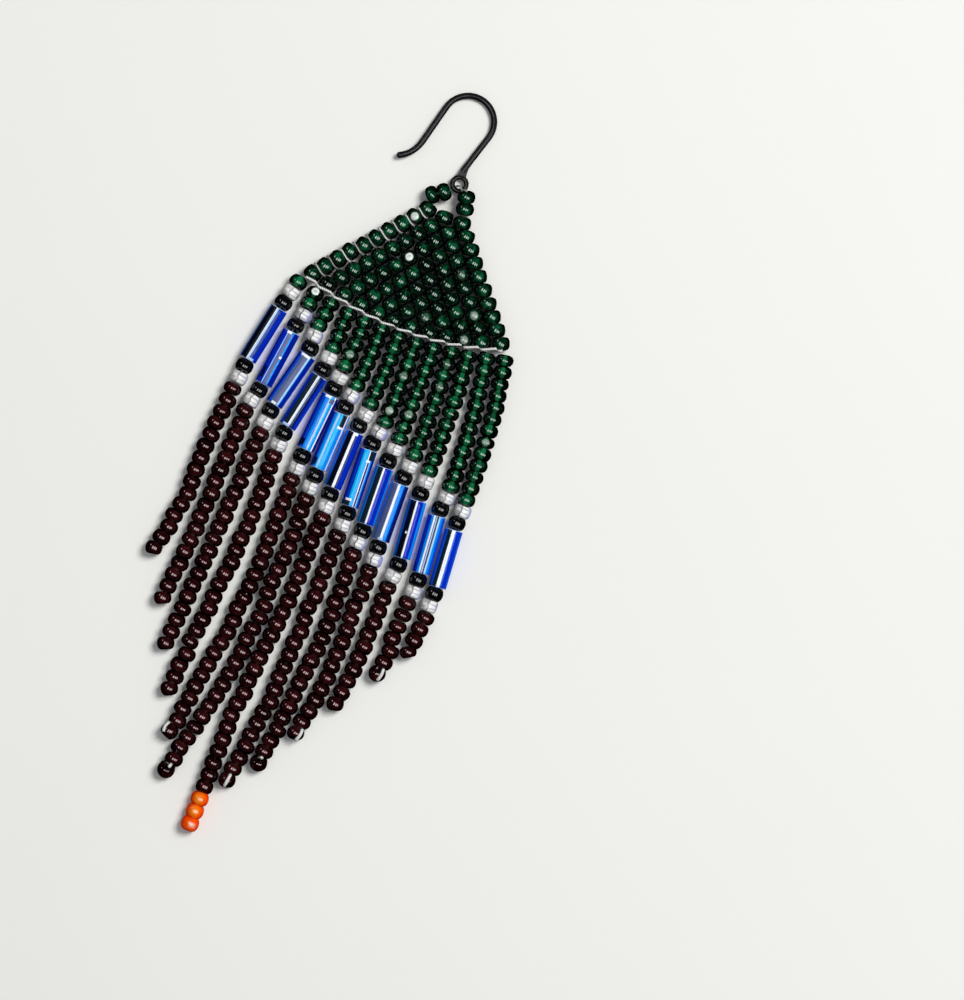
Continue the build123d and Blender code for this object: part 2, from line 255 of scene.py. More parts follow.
def strand_route(number):
    """Points of one strand's stretches: green, upper pair, bugle, lower pair, brown."""
    s = strands[number - 1]
    share = -1 + 2 * (number - 1) / (STRANDS - 1)
    first = row_point(ROWS, share)
    room = (GREEN_PITCH + ROW_OVERLAP) / 2 + PANEL_GAP
    start = np.array([first[0], row_point(ROWS - 1, share)[1] - room, SEED_RADIUS])
    green = walk(start, (s.green_top, s.green_low), s.green * GREEN_PITCH / 2)
    upper = walk(green[-1], [s.upper], CRYSTAL_PITCH + BLACK_PITCH)
    bugle = walk(upper[-1], [s.bugle], BUGLE_LENGTH + BEAD_GAP)
    lower = walk(bugle[-1], [s.lower], CRYSTAL_PITCH + BLACK_PITCH)
    brown_leans = (s.brown_top, s.brown_mid, s.brown_low)
    brown = walk(lower[-1], brown_leans, s.brown * BROWN_PITCH / 3)
    return green, upper, bugle, lower, brown


def rounded(points, samples=9):
    """A route of straight runs whose corners are tangent arcs over 0.45 of the shorter run.

    Each arc is the quadratic curve through its two tangent points with the corner as its pole,
    which differs from a circle by less than a hundredth of a millimetre at these small turns.
    """
    share = 0.45
    runs = np.diff(points, axis=0)
    lengths = np.linalg.norm(runs, axis=1)
    cut = share * np.minimum(lengths[:-1], lengths[1:])[:, None]
    along = runs / lengths[:, None]
    corner = points[1:-1]
    into, out = corner - along[:-1] * cut, corner + along[1:] * cut
    t = np.linspace(0, 1, samples)[None, :, None]
    arcs = into[:, None] * (1 - t) ** 2 + corner[:, None] * 2 * t * (1 - t) + out[:, None] * t**2
    return np.vstack([points[:1], arcs.reshape(-1, 3), points[-1:]])


def spaced(route, places):
    """Points at shares 0 to 1 of a route's length, with the route's direction there."""
    steps = np.linalg.norm(np.diff(route, axis=0), axis=1)
    reach = np.concatenate([[0], np.cumsum(steps)])
    at = np.asarray(places) * reach[-1]
    points = np.stack([np.interp(at, reach, route[:, i]) for i in range(3)], -1)
    eps = reach[-1] * 0.02
    before, after = np.clip(at - eps, 0, reach[-1]), np.clip(at + eps, 0, reach[-1])
    ahead = np.stack([np.interp(after, reach, route[:, i]) for i in range(3)], -1)
    behind = np.stack([np.interp(before, reach, route[:, i]) for i in range(3)], -1)
    return points, unit(ahead - behind)


def unit(v):
    """Vectors of length 1."""
    return v / np.linalg.norm(v, axis=-1, keepdims=True)


def set_painted_glares(kind, glares, line, first):
    """Writes how bright the painted glares of the flat faces on this row or strand are into the
    second column of kind.

    first is the number that the list of painted glares gives to the first bead.
    """
    for glare in glares:
        if glare.line == line:
            kind[glare.bead - first, 1] = glare.light


# Meshes


def add_attribute(mesh, name, kind, domain, field, values):
    """Gives a mesh a named attribute from an array."""
    attribute = mesh.attributes.new(name, kind, domain)
    attribute.data.foreach_set(field, np.ascontiguousarray(values, np.float32).ravel())


def mesh_object(name, points, faces, material, vectors=None, corner_colours=None, node_slot=None):
    """A smooth mesh from points in millimetres about the eye, with named vector attributes.

    Heights are held between the table and the part's own top.
    """
    mesh = bpy.data.meshes.new(name)
    places = (points + EYE) * MM
    places[:, 2] = np.clip(places[:, 2], 0, cad_high[2])
    mesh.from_pydata(places.tolist(), [], faces)
    for key, values in (vectors or {}).items():
        add_attribute(mesh, key, "FLOAT_VECTOR", "POINT", "vector", values)
    if corner_colours is not None:
        add_attribute(mesh, "band", "FLOAT_COLOR", "CORNER", "color", corner_colours)
    mesh.shade_smooth()
    mesh.materials.append(material)
    mesh.update()
    thing = bpy.data.objects.new(name, mesh)
    bpy.context.scene.collection.objects.link(thing)
    if node_slot:
        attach(thing, "root")
    return thing


def grid_faces(count, rings, around):
    """Quads of many tori that face outwards: ring j, step i, both closed on themselves."""
    b, j, i = np.meshgrid(np.arange(count), np.arange(rings), np.arange(around), indexing="ij")
    nj, ni = (j + 1) % rings, (i + 1) % around
    base = b * rings * around
    quads = np.stack([base + j * around + i, base + nj * around + i,
                      base + nj * around + ni, base + j * around + ni], -1)
    return quads.reshape(-1, 4).tolist()


def frames(axes):
    """Sideways and upward unit vectors square to each axis; up is as near the sky as it can be."""
    helper = np.where(np.abs(axes[:, 2:3]) > 0.9, np.array([[0.0, 1.0, 0.0]]), UP[None])
    up = unit(helper - (helper * axes).sum(1, keepdims=True) * axes)
    return np.cross(axes, up), up


def spokes(side, up, turn):
    """Unit vectors square to each axis, one for each angle of turn."""
    return side[:, None] * np.cos(turn)[..., None] + up[:, None] * np.sin(turn)[..., None]


def seed_beads(name, centres, axes, material, slot, kind=None, length=1.4, around=14,
               wall_angles=(-140, -90, -56, -27, 0, 27, 56, 90, 140), squareness=1.95,
               sway=0.05, lean=0.16, uneven=0.06, width=1.08, hole=0.14, stray=0.0):
    """Drilled round beads as closed tori.

    The wall's cut is a superellipse between the hole and the outside, carried round each bead's
    own axis. Every bead is a little wider or narrower, longer or shorter than the next, and
    leans like its neighbours: the lean is a slow sine along the beads, with a little of its own.
    A stray moves each bead a little sideways.
    The attribute spot holds the sideways and lengthwise place on the bead, -1 to 1, and a
    number of its own; kind holds whatever the maker of the beads gave.
    """
    count = len(centres)
    side, up = frames(axes)
    rise = lean * np.sin(np.arange(count) * LEAN_STEP + LEAN_START) + rng.normal(0, sway, count)
    drift = rng.normal(0, sway, count)
    centres = centres + side * rng.normal(0, stray, (count, 1))
    axes = unit(axes + up * rise[:, None] + side * drift[:, None])
    side, up = frames(axes)
    a = np.radians(np.asarray(wall_angles, float))
    power = 2 / squareness
    wall = (SEED_RADIUS - hole) / 2
    cut_r = hole + wall + wall * np.sign(np.cos(a)) * np.abs(np.cos(a)) ** power
    cut_z = np.sign(np.sin(a)) * np.abs(np.sin(a)) ** power
    wide = width - np.clip(np.abs(rng.normal(0, uneven / 3, count)), 0, NARROWEST)
    longer = np.clip(rng.normal(0, uneven, count), SHORTEST, LONGEST)
    long = np.asarray(length) / 2 * (1 + longer)
    turn = np.linspace(0, 2 * np.pi, around, endpoint=False)[None]
    turn = turn + rng.normal(0, TURN_SPREAD, (count, 1))
    outward = spokes(side, up, turn)
    points = (centres[:, None, None]
              + axes[:, None, None] * (long[:, None] * cut_z[None])[:, :, None, None]
              + outward[:, None] * (wide[:, None] * cut_r[None])[:, :, None, None])
    own = rng.uniform(0, 1, count)
    spot = np.zeros(points.shape)
    spot[..., 0] = np.cos(turn)[:, None, :]
    spot[..., 1] = cut_z[None, :, None]
    spot[..., 2] = own[:, None, None]
    kinds = np.zeros((count, 3)) if kind is None else np.asarray(kind, float)
    kinds = np.broadcast_to(kinds[:, None, None], points.shape)
    faces = grid_faces(count, len(a), around)
    return mesh_object(name, points.reshape(-1, 3), faces, material,
                       {"spot": spot.reshape(-1, 3), "kind": kinds.reshape(-1, 3)}, node_slot=slot)


def tubes(name, paths, material, slot, sides=6):
    """Round threads: a ring of points carried along each path, with closed ends.

    Each path comes with its radius and with how strongly it takes the painted dark green shade of
    lying deep between the green beads, 0 to 1.
    """
    points, faces, places, first = [], [], [], 0
    for path, radius, depth in paths:
        path = np.asarray(path, float)
        ahead = unit(np.gradient(path, axis=0))
        side, up = frames(ahead)
        turn = np.linspace(0, 2 * np.pi, sides, endpoint=False)
        points.append((path[:, None] + spokes(side, up, turn) * radius).reshape(-1, 3))
        reach = np.concatenate([[0], np.cumsum(np.linalg.norm(np.diff(path, axis=0), axis=1))])
        place = np.zeros((len(path), sides, 3))
        place[..., 0] = reach[:, None]
        place[..., 1] = turn[None] / (2 * np.pi)
        place[..., 2] = np.reshape(depth, (-1, 1))
        places.append(place.reshape(-1, 3))
        j, i = np.meshgrid(np.arange(len(path) - 1), np.arange(sides), indexing="ij")
        ni = (i + 1) % sides
        quads = np.stack([first + j * sides + i, first + (j + 1) * sides + i,
                          first + (j + 1) * sides + ni, first + j * sides + ni], -1)
        faces += quads.reshape(-1, 4).tolist()
        last = first + (len(path) - 1) * sides
        faces.append(list(range(first, first + sides)))
        faces.append(list(range(last, last + sides))[::-1])
        first += len(path) * sides
    return mesh_object(name, np.vstack(points), faces, material,
                       {"along": np.vstack(places)}, node_slot=slot)


def bugle_beads(name, starts, axes, material, slot, around=64, rings_along=25):
    """Cut glass tubes: a rectangular wall section with softened corners carried round each axis.

    Every face outside takes its colour from the band that its sideways place falls in, or from the
    short patch that lies there, both partly painted reflections, light and shade, and the cut ends
    and the bore are pale.
    """
    edge = 0.05
    lip = BUGLE_RADIUS - edge
    inner = [(BUGLE_BORE, 0), (lip, 0)]
    outer = [(BUGLE_RADIUS, reach) for reach in np.linspace(edge, BUGLE_LENGTH - edge, rings_along)]
    cut = np.array(inner + outer + [(lip, BUGLE_LENGTH), (BUGLE_BORE, BUGLE_LENGTH)])
    rings, count = len(cut), len(starts)
    turn = np.linspace(0, 2 * np.pi, around, endpoint=False)
    side, up = frames(axes)
    points = (starts[:, None, None] + axes[:, None, None] * cut[None, :, 1, None, None]
              + spokes(side, up, turn)[:, None] * cut[None, :, 0, None, None])
    colours = np.ones((count, rings, around, 4, 4))
    colours[..., :3] = CUT_GLASS
    # the sideways vector points to the left of a strand that runs down
    place = (1 - np.cos(turn + np.pi / around)) / 2
    first = len(inner)
    along = (np.arange(rings_along - 1) + 0.5) / (rings_along - 1)
    for b in range(count):
        bands = [(part[0], int(part[1])) for part in bugle_bands[b].split()]
        ends = np.cumsum([share for _, share in bands]) / sum(share for _, share in bands)
        picked = np.searchsorted(ends, place).clip(0, len(bands) - 1)
        across = np.array([band_colours[letter] for letter, _ in bands])[picked]
        outside = colours[b, first:first + rings_along - 1]
        outside[..., :3] = across[None, :, None]
        # the short patches of painted light and shade lie over the bands
        for block in bugle_light_patches:
            if block.bugle == b + 1:
                here = ((along >= block.start) & (along <= block.end))[:, None]
                here = here & ((place >= block.left) & (place <= block.right))[None]
                outside[here, :, :3] = band_colours[block.colour]
    vectors = np.zeros(points.shape)
    vectors[..., 0] = np.cos(turn)[None, None]
    vectors[..., 1] = cut[None, :, 1, None] / BUGLE_LENGTH
    vectors[..., 2] = rng.uniform(0, 1, count)[:, None, None]
    return mesh_object(name, points.reshape(-1, 3), grid_faces(count, rings, around), material,
                       {"spot": vectors.reshape(-1, 3)}, colours.reshape(-1, 4), node_slot=slot)


# Materials


def new_material(name, **values):
    """A material with one Principled shader; values are its plain inputs."""
    material = bpy.data.materials.new(name)
    material.use_nodes = True
    shader = material.node_tree.nodes["Principled BSDF"]
    for key, value in values.items():
        shader.inputs[key.replace("_", " ")].default_value = value
    return material, material.node_tree, shader


def add_node(tree, kind, **settings):
    """One node with its properties set."""
    made = tree.nodes.new(kind)
    for key, value in settings.items():
        setattr(made, key, value)
    return made


def feed(tree, socket, value):
    """Links an output to an input, or sets the input from a number or a colour."""
    if isinstance(value, bpy.types.NodeSocket):
        tree.links.new(value, socket)
    elif isinstance(value, tuple):
        socket.default_value = (*value, 1)
    elif value is not None:
        socket.default_value = value


def math(tree, operation, a, b=None, clamp=False):
    """A Math node whose inputs are sockets or numbers."""
    made = add_node(tree, "ShaderNodeMath", operation=operation, use_clamp=clamp)
    feed(tree, made.inputs[0], a)
    feed(tree, made.inputs[1], b)
    return made.outputs[0]


def times(tree, a, b, clamp=False):
    """The product of two sockets or numbers."""
    return math(tree, "MULTIPLY", a, b, clamp)


def plus(tree, a, b):
    """The sum of two sockets or numbers."""
    return math(tree, "ADD", a, b)


def one_minus(tree, value):
    """1 less a value, which turns a mask round."""
    return math(tree, "SUBTRACT", 1.0, value)


def size_of(tree, value):
    """A value without its sign."""
    return math(tree, "ABSOLUTE", value)


def between(tree, value, low, high, at_low=0.0, at_high=1.0, step="SMOOTHSTEP"):
    """A value from low to high, either way round, as one from at_low to at_high, held past both."""
    made = add_node(tree, "ShaderNodeMapRange", interpolation_type=step)
    ends = {"From Min": low, "From Max": high, "To Min": at_low, "To Max": at_high}
    for name, end in ends.items():
        feed(tree, made.inputs[name], end)
    tree.links.new(value, made.inputs["Value"])
    return made.outputs["Result"]


def mix(tree, factor, first, second, blend="MIX"):
    """A colour mix; colours are sockets or tuples."""
    made = add_node(tree, "ShaderNodeMix", data_type="RGBA", blend_type=blend)
    # the Mix node's inputs 6 and 7 and its output 2 are the ones for colours
    feed(tree, made.inputs[0], factor)
    feed(tree, made.inputs[6], first)
    feed(tree, made.inputs[7], second)
    return made.outputs[2]


def read(tree, name):
    """The three numbers of a vector attribute."""
    attribute = add_node(tree, "ShaderNodeAttribute", attribute_name=name)
    split = add_node(tree, "ShaderNodeSeparateXYZ")
    tree.links.new(attribute.outputs["Vector"], split.inputs[0])
    return split.outputs


def object_place(tree):
    """The place on an object, in metres."""
    return add_node(tree, "ShaderNodeTexCoord").outputs["Object"]


def noise(tree, vector, scale, detail, stretch=None):
    """Noise of a scale over a vector, which may be stretched first."""
    made = add_node(tree, "ShaderNodeTexNoise")
    made.inputs["Scale"].default_value = scale
    made.inputs["Detail"].default_value = detail
    if stretch is not None:
        scaled = add_node(tree, "ShaderNodeVectorMath", operation="MULTIPLY")
        scaled.inputs[1].default_value = stretch
        tree.links.new(vector, scaled.inputs[0])
        vector = scaled.outputs[0]
    tree.links.new(vector, made.inputs["Vector"])
    return made.outputs["Fac"]


def bumped(tree, height, strength, depth, normal):
    """Links a bump of a height pattern, with its depth in metres, to an input for normals."""
    bump = add_node(tree, "ShaderNodeBump")
    feed(tree, bump.inputs["Strength"], strength)
    bump.inputs["Distance"].default_value = depth
    tree.links.new(height, bump.inputs["Height"])
    tree.links.new(bump.outputs["Normal"], normal)


def off_centre(tree, side, along, share):
    """How far from a bead's middle: the root of side squared and a share of along squared."""
    along_part = times(tree, times(tree, along, along), share)
    return math(tree, "SQRT", plus(tree, times(tree, side, side), along_part))


def glass_grain_group():
    """Small unevenness of pressed glass: a shade, a roughness and a normal from object noise.

    A material gives it the roughness of its smoothest and roughest spots and how strong its
    relief is.
    """
    group = bpy.data.node_groups.new("glass_grain", "ShaderNodeTree")
    for name in ("Smoothest", "Roughest", "Relief"):
        group.interface.new_socket(name, in_out="INPUT", socket_type="NodeSocketFloat")
    group.interface.new_socket("Shade", in_out="OUTPUT", socket_type="NodeSocketFloat")
    group.interface.new_socket("Roughness", in_out="OUTPUT", socket_type="NodeSocketFloat")
    group.interface.new_socket("Normal", in_out="OUTPUT", socket_type="NodeSocketVector")
    given = group.nodes.new("NodeGroupInput").outputs
    out = group.nodes.new("NodeGroupOutput").inputs
    coordinates = object_place(group)
    broad = noise(group, coordinates, BROAD_GRAIN, 2)
    fine = noise(group, coordinates, FINE_GRAIN, 3)
    rough = between(group, fine, 0.3, 0.75, given["Smoothest"], given["Roughest"], "LINEAR")
    feed(group, out["Shade"], between(group, broad, 0.25, 0.75))
    feed(group, out["Roughness"], rough)
    bumped(group, broad, given["Relief"], 0.06 * MM, out["Normal"])
    return group


def with_grain(tree, shader, roughness=GLASS_ROUGHNESS, relief=GLASS_RELIEF):
    """Links the shared grain to a shader's roughness and normal and gives its shade back."""
    made = add_node(tree, "ShaderNodeGroup", node_tree=grain)
    for name, value in zip(("Smoothest", "Roughest", "Relief"), (*roughness, relief)):
        feed(tree, made.inputs[name], value)
    tree.links.new(made.outputs["Roughness"], shader.inputs["Roughness"])
    tree.links.new(made.outputs["Normal"], shader.inputs["Normal"])
    return made.outputs["Shade"]


def green_glass():
    """Dark emerald glass with painted light through it: near black rims, a patchy green glow in the
    middle and the thread lit green in the hole.

    kind holds how strongly the lit thread shows, how bright the painted glare of a flat face is and
    how strong the painted green glow is.
    """
    material, tree, shader = new_material("emerald_glass", IOR=1.55, Coat_Weight=0.6,
                                          Coat_Roughness=0.06, Specular_Tint=(0.8, 1.0, 0.86, 1))
    shade = with_grain(tree, shader)
    side, along, own = read(tree, "spot")
    line_on, glare, green_glow = read(tree, "kind")
    side = size_of(tree, side)
    reach = off_centre(tree, side, along, 0.45)
    # painted light through the glass: a patchy green glow in the middle of the bead, near black at
    # its rims
    lit_heart = one_minus(tree, between(tree, reach, 0.2, 0.85))
    strength = times(tree, between(tree, shade, 0.35, 0.9), plus(tree, own, 0.15))
    patches = between(tree, noise(tree, object_place(tree), GREEN_GLOW_PATCHES, 2), 0.4, 0.56)
    strength = times(tree, plus(tree, strength, green_glow),
                     plus(tree, times(tree, patches, 1.3), 0.4))
    lit_heart = times(tree, lit_heart, strength, clamp=True)
    colour = mix(tree, lit_heart, (0.0003, 0.0018, 0.0008), (0.0025, 0.083, 0.03))
    # painted light: the thread in the hole seen lit green through the glass
    line = times(tree, one_minus(tree, between(tree, side, 0.14, 0.34)), line_on)
    line = times(tree, line, plus(tree, times(tree, shade, 0.6), 0.4))
    colour = mix(tree, line, colour, (0.007, 0.165, 0.058))
    # painted glare: a pale disc with a faint ring for the light off a flat face
    disc = one_minus(tree, between(tree, reach, 0.34, 0.5))
    ring = one_minus(tree, times(tree, between(tree, reach, 0.3, 0.1), 0.35))
    disc = times(tree, times(tree, disc, ring), glare)
    colour = mix(tree, disc, colour, (0.8, 0.86, 0.82))
    feed(tree, shader.inputs["Base Color"], colour)
    return material


def opaque_glass(name, dark, light, **values):
    """Glossy opaque glass: painted light in the middle of a bead and painted shade towards its
    rims, with a tone that wanders from bead to bead.

    The second number of kind is how bright a painted glare, a pale square near the middle, is.
    """
    material, tree, shader = new_material(name, IOR=1.55, Coat_Roughness=0.06, **values)
    shade = with_grain(tree, shader)
    side, along, own = read(tree, "spot")
    glare = read(tree, "kind")[1]
    # painted light and shade: lighter in the middle of the bead, darker towards its rims
    middle = one_minus(tree, between(tree, off_centre(tree, side, along, 0.5), 0.25, 0.95))
    factor = plus(tree, times(tree, shade, 0.6), times(tree, own, 0.6))
    colour = mix(tree, times(tree, factor, middle, clamp=True), dark, light)
    # painted glare: a pale square near the middle
    face = math(tree, "MAXIMUM", size_of(tree, plus(tree, side, 0.3)), size_of(tree, along))
    face = times(tree, one_minus(tree, between(tree, face, 0.2, 0.5)), glare)
    feed(tree, shader.inputs["Base Color"], mix(tree, face, colour, (0.95, 0.6, 0.5)))
    return material


def crystal_glass():
    """Clear glass in painted light, shade and refraction: a smoky part with a glint, a thin dark
    wavy line, and a bright ridged block.

    The block ends in a painted blue fringe of light on some of the beads.
    """
    material, tree, shader = new_material("clear_glass", IOR=1.5, Transmission_Weight=0.2)
    shade = with_grain(tree, shader)
    side, along, own = read(tree, "spot")
    wave = plus(tree, times(tree, along, 4.5), times(tree, own, 9.0))
    wobble = times(tree, math(tree, "SINE", wave), 0.06)
    line_place = plus(tree, times(tree, own, 0.3), -0.02)
    from_line = math(tree, "SUBTRACT", plus(tree, line_place, wobble), side)
    # painted light through the clear glass: a smoky grey part and a bright ridged block, parted by
    # a painted dark line
    grey = mix(tree, shade, (0.38, 0.38, 0.37), (0.88, 0.87, 0.86))
    grey = mix(tree, between(tree, side, 0.78, 0.95), grey, (0.78, 0.78, 0.78))
    block = times(tree, between(tree, from_line, 0.05, 0.13),
                  one_minus(tree, between(tree, from_line, 0.8, 0.95)))
    ridges = math(tree, "SINE", plus(tree, times(tree, along, 9.0), times(tree, own, 6.0)))
    ridge_colour = mix(tree, between(tree, ridges, -1.0, -0.4), (0.5, 0.51, 0.56), (1.0, 1.0, 1.0))
    colour = mix(tree, block, grey, ridge_colour)
    glint = math(tree, "MAXIMUM", size_of(tree, plus(tree, side, -0.48)),
                 size_of(tree, plus(tree, along, times(tree, own, 0.5))))
    glint = one_minus(tree, between(tree, glint, 0.16, 0.28))
    colour = mix(tree, glint, colour, (1.0, 1.0, 1.0))
    line = one_minus(tree, between(tree, size_of(tree, from_line), 0.03, 0.1))
    line = times(tree, line, plus(tree, times(tree, own, 0.55), 0.4))
    colour = mix(tree, line, colour, (0.02, 0.02, 0.025))
    # painted blue fringe of light at the end of the block
    rim = times(tree, between(tree, from_line, 0.78, 0.95), own)
    feed(tree, shader.inputs["Base Color"], mix(tree, rim, colour, (0.4, 0.45, 0.95)))
    return material


def bugle_glass():
    """Blue lined glass: the bands of each bead, partly painted reflections, light and shade, broken
    up by fine lengthwise streaks.
    """
    material, tree, shader = new_material("blue_lined_glass", IOR=1.5, Coat_Weight=0.12,
                                          Coat_Roughness=0.05, Specular_IOR_Level=0.14)
    bands = add_node(tree, "ShaderNodeAttribute", attribute_name="band").outputs["Color"]
    spot = add_node(tree, "ShaderNodeAttribute", attribute_name="spot").outputs["Vector"]
    streak = noise(tree, spot, 1.0, 4, STREAKS)
    bright = times(tree, between(tree, streak, 0.52, 0.72), 0.35)
    dull = times(tree, between(tree, streak, 0.48, 0.3), 0.45)
    colour = mix(tree, bright, bands, (0.03, 0.5, 0.6), "DODGE")
    feed(tree, shader.inputs["Base Color"], mix(tree, dull, colour, (0.0, 0.012, 0.14)))
    with_grain(tree, shader)
    return material


def thread_fibre():
    """White twisted thread: a fine spiral of shade and height along each thread.

    Deep between the green beads it takes a painted dark green shade.
    """
    material, tree, shader = new_material("white_thread", Roughness=0.65, Sheen_Weight=0.1)
    along, around, depth = read(tree, "along")
    # two whole waves round the thread, so that its seam closes
    twist = plus(tree, times(tree, along, 26.0), times(tree, around, 4 * np.pi))
    wave = math(tree, "SINE", twist)
    colour = mix(tree, between(tree, wave, -1.0, 0.6), (0.5, 0.52, 0.5), (0.88, 0.89, 0.87))
    # painted shade: near black green where the thread lies deep between the green beads
    colour = mix(tree, between(tree, depth, 0.1, 0.9), colour, (0.01, 0.03, 0.02))
    feed(tree, shader.inputs["Base Color"], colour)
    bumped(tree, wave, 0.5, 0.03 * MM, shader.inputs["Normal"])
    return material


def hook_wire():
    """Black coated wire: satin, cloudy, with fine draw marks."""
    material, tree, shader = new_material("black_satin_wire", Specular_IOR_Level=0.16,
                                          Coat_Weight=0.1, Coat_Roughness=0.15)
    coordinates = object_place(tree)
    broad = noise(tree, coordinates, WIRE_CLOUDS, 4)
    fine = noise(tree, coordinates, WIRE_DRAW_MARKS, 2, (1.0, 0.15, 1.0))
    colour = mix(tree, broad, (0.004, 0.004, 0.0045), (0.013, 0.013, 0.014))
    feed(tree, shader.inputs["Base Color"], colour)
    feed(tree, shader.inputs["Roughness"], between(tree, fine, 0, 1, *WIRE_ROUGHNESS, "LINEAR"))
    bumped(tree, fine, 0.15, 0.03 * MM, shader.inputs["Normal"])
    return material


def loop_thread():
    """The thread through the hook's eye, which lies in shade: grey with a soft green cast."""
    material, tree, shader = new_material("loop_thread", Roughness=0.65)
    fibre = noise(tree, object_place(tree), LOOP_FIBRE, 2)
    colour = mix(tree, fibre, (0.13, 0.17, 0.15), (0.4, 0.44, 0.41))
    feed(tree, shader.inputs["Base Color"], colour)
    return material


def table_top():
    """Pale matt table with the faintest cloudiness, with painted lilac light from the bugles: a
    lilac tint and a faint lilac glow.

    The painted light fills a band along a parabola under the bugles and fades out at its edges.
    """
    material, tree, shader = new_material("pale_table", Roughness=0.6, Emission_Strength=1.0)
    coordinates = object_place(tree)
    cloud = noise(tree, coordinates, TABLE_CLOUDS, 5)
    about_eye = add_node(tree, "ShaderNodeMapping", vector_type="TEXTURE")
    about_eye.inputs["Location"].default_value = EYE * MM
    about_eye.inputs["Scale"].default_value = (MM, MM, MM)
    tree.links.new(coordinates, about_eye.inputs["Vector"])
    split = add_node(tree, "ShaderNodeSeparateXYZ")
    tree.links.new(about_eye.outputs["Vector"], split.inputs[0])
    x, y, _ = split.outputs
    bend = times(tree, times(tree, x, x), TINT_BEND)
    middle = plus(tree, plus(tree, times(tree, x, TINT_SLOPE), bend), TINT_START)
    off = size_of(tree, math(tree, "SUBTRACT", y, middle))
    band = one_minus(tree, between(tree, off, *TINT_SIDES))
    ends = one_minus(tree, between(tree, size_of(tree, x), *TINT_ENDS))
    # painted light: a lilac tint in the colour and a lilac glow in the emission
    lilac = times(tree, band, ends)
    plain = mix(tree, cloud, (0.86, 0.863, 0.826), (0.89, 0.893, 0.86))
    glow = mix(tree, lilac, (0.0, 0.0, 0.0), (0.02, 0.02, 0.08))
    feed(tree, shader.inputs["Base Color"], mix(tree, lilac, plain, (0.8, 0.8, 0.93)))
    feed(tree, shader.inputs["Emission Color"], glow)
    return material


grain = glass_grain_group()
emerald = green_glass()
# each opaque glass runs from its colour at the painted shaded rims to its colour in the painted lit
# middle
oxblood = opaque_glass("oxblood_glass", (0.0045, 0.0003, 0.0004), (0.04, 0.0045, 0.0055),
                       Specular_Tint=(1.0, 0.72, 0.74, 1), Coat_Weight=0.62)
jet = opaque_glass("jet_glass", (0.001, 0.001, 0.0012), (0.004, 0.004, 0.005),
                   Specular_IOR_Level=0.35, Coat_Weight=0.4)
tangerine = opaque_glass("orange_glass", (0.95, 0.06, 0.001), (1.0, 0.25, 0.006),
                         Subsurface_Weight=0.5, Subsurface_Scale=0.9 * MM,
                         Specular_IOR_Level=0.3, Coat_Weight=1.0)
clear = crystal_glass()
blue = bugle_glass()
white = thread_fibre()

# Beads

green_at, green_axes, green_kind = [], [], []
brown_at, brown_axes = [], []
crystal_at, crystal_axes, black_at, black_axes = [], [], [], []
bugle_at, bugle_axes = [], []
thread_paths = []
for number, (s, turn) in enumerate(zip(strands, turns), 1):
    green, upper, bugle, lower, brown = strand_route(number)

    at, axes = spaced(rounded(green), (np.arange(s.green) + 0.5) / s.green)
    green_at.append(at)
    green_axes.append(axes)
    kind = np.zeros((s.green, 3))
    kind[:, 0] = 1
    # the last green bead takes a stronger painted green glow
    kind[-1, 2] = LAST_GREEN_GLOW
    set_painted_glares(kind, strand_glares, number, 1)
    green_kind.append(kind)

    # a loose bead's hole points half way between the stretches that it joins
    step = unit(upper[1] - upper[0])
    crystal_at.append(upper[0] + step * CRYSTAL_PITCH / 2)
    black_at.append(upper[0] + step * (CRYSTAL_PITCH + BLACK_PITCH / 2))
    crystal_axes.append(heading((s.green_low + s.upper) / 2))
    black_axes.append(heading((s.upper + s.bugle) / 2))

    step = unit(lower[1] - lower[0])
    black_at.append(lower[0] + step * BLACK_PITCH / 2)
    crystal_at.append(lower[0] + step * (BLACK_PITCH + CRYSTAL_PITCH / 2))
    black_axes.append(heading((s.bugle + s.lower) / 2))
    crystal_axes.append(heading((s.lower + s.brown_top) / 2))

    bugle_axes.append(heading(s.bugle))
    bugle_at.append(bugle[0] + heading(s.bugle) * BEAD_GAP / 2)

    at, axes = spaced(rounded(brown), (np.arange(s.brown) + 0.5) / s.brown)
    ahead = axes[-1].copy()
    across = np.cross(UP, ahead)
    if turn.lean is not None:
        tip = np.radians(turn.tip)
        axes[-1] = heading(turn.lean) * np.cos(tip) + UP * np.sin(tip)
    if turn.right is not None:
        # a thread lies on the last bead and hugs a ball round its middle
        t = np.linspace(0, 1, 9)[:, None]
        bow = turn.right * (0.75 + 0.25 * np.sin(np.pi * t))
        lying = across * bow + ahead * (turn.above * (1 - t) + turn.below * t)
        lying[:, 2] = np.sqrt(np.maximum(HUG_RADIUS**2 - (lying**2).sum(1), HUG_LEAST))
        thread_paths.append((at[-1] + lying, 1.7 * THREAD_RADIUS, 0))
    brown_at.append(at)
    brown_axes.append(axes)
    thread_paths.append((rounded(np.vstack([upper[0], bugle, lower[1]]), 5), THREAD_RADIUS, 0))

tail = strand_route(ORANGE_STRAND)[-1][-1]
down = heading(strands[ORANGE_STRAND - 1].brown_low)
orange_at = tail + down * (np.arange(ORANGE_BEADS)[:, None] + 0.5) * ORANGE_PITCH
orange_axes = np.tile(down, (ORANGE_BEADS, 1))
orange_kind = np.zeros((ORANGE_BEADS, 3))
orange_kind[-1, 1] = ORANGE_GLARE

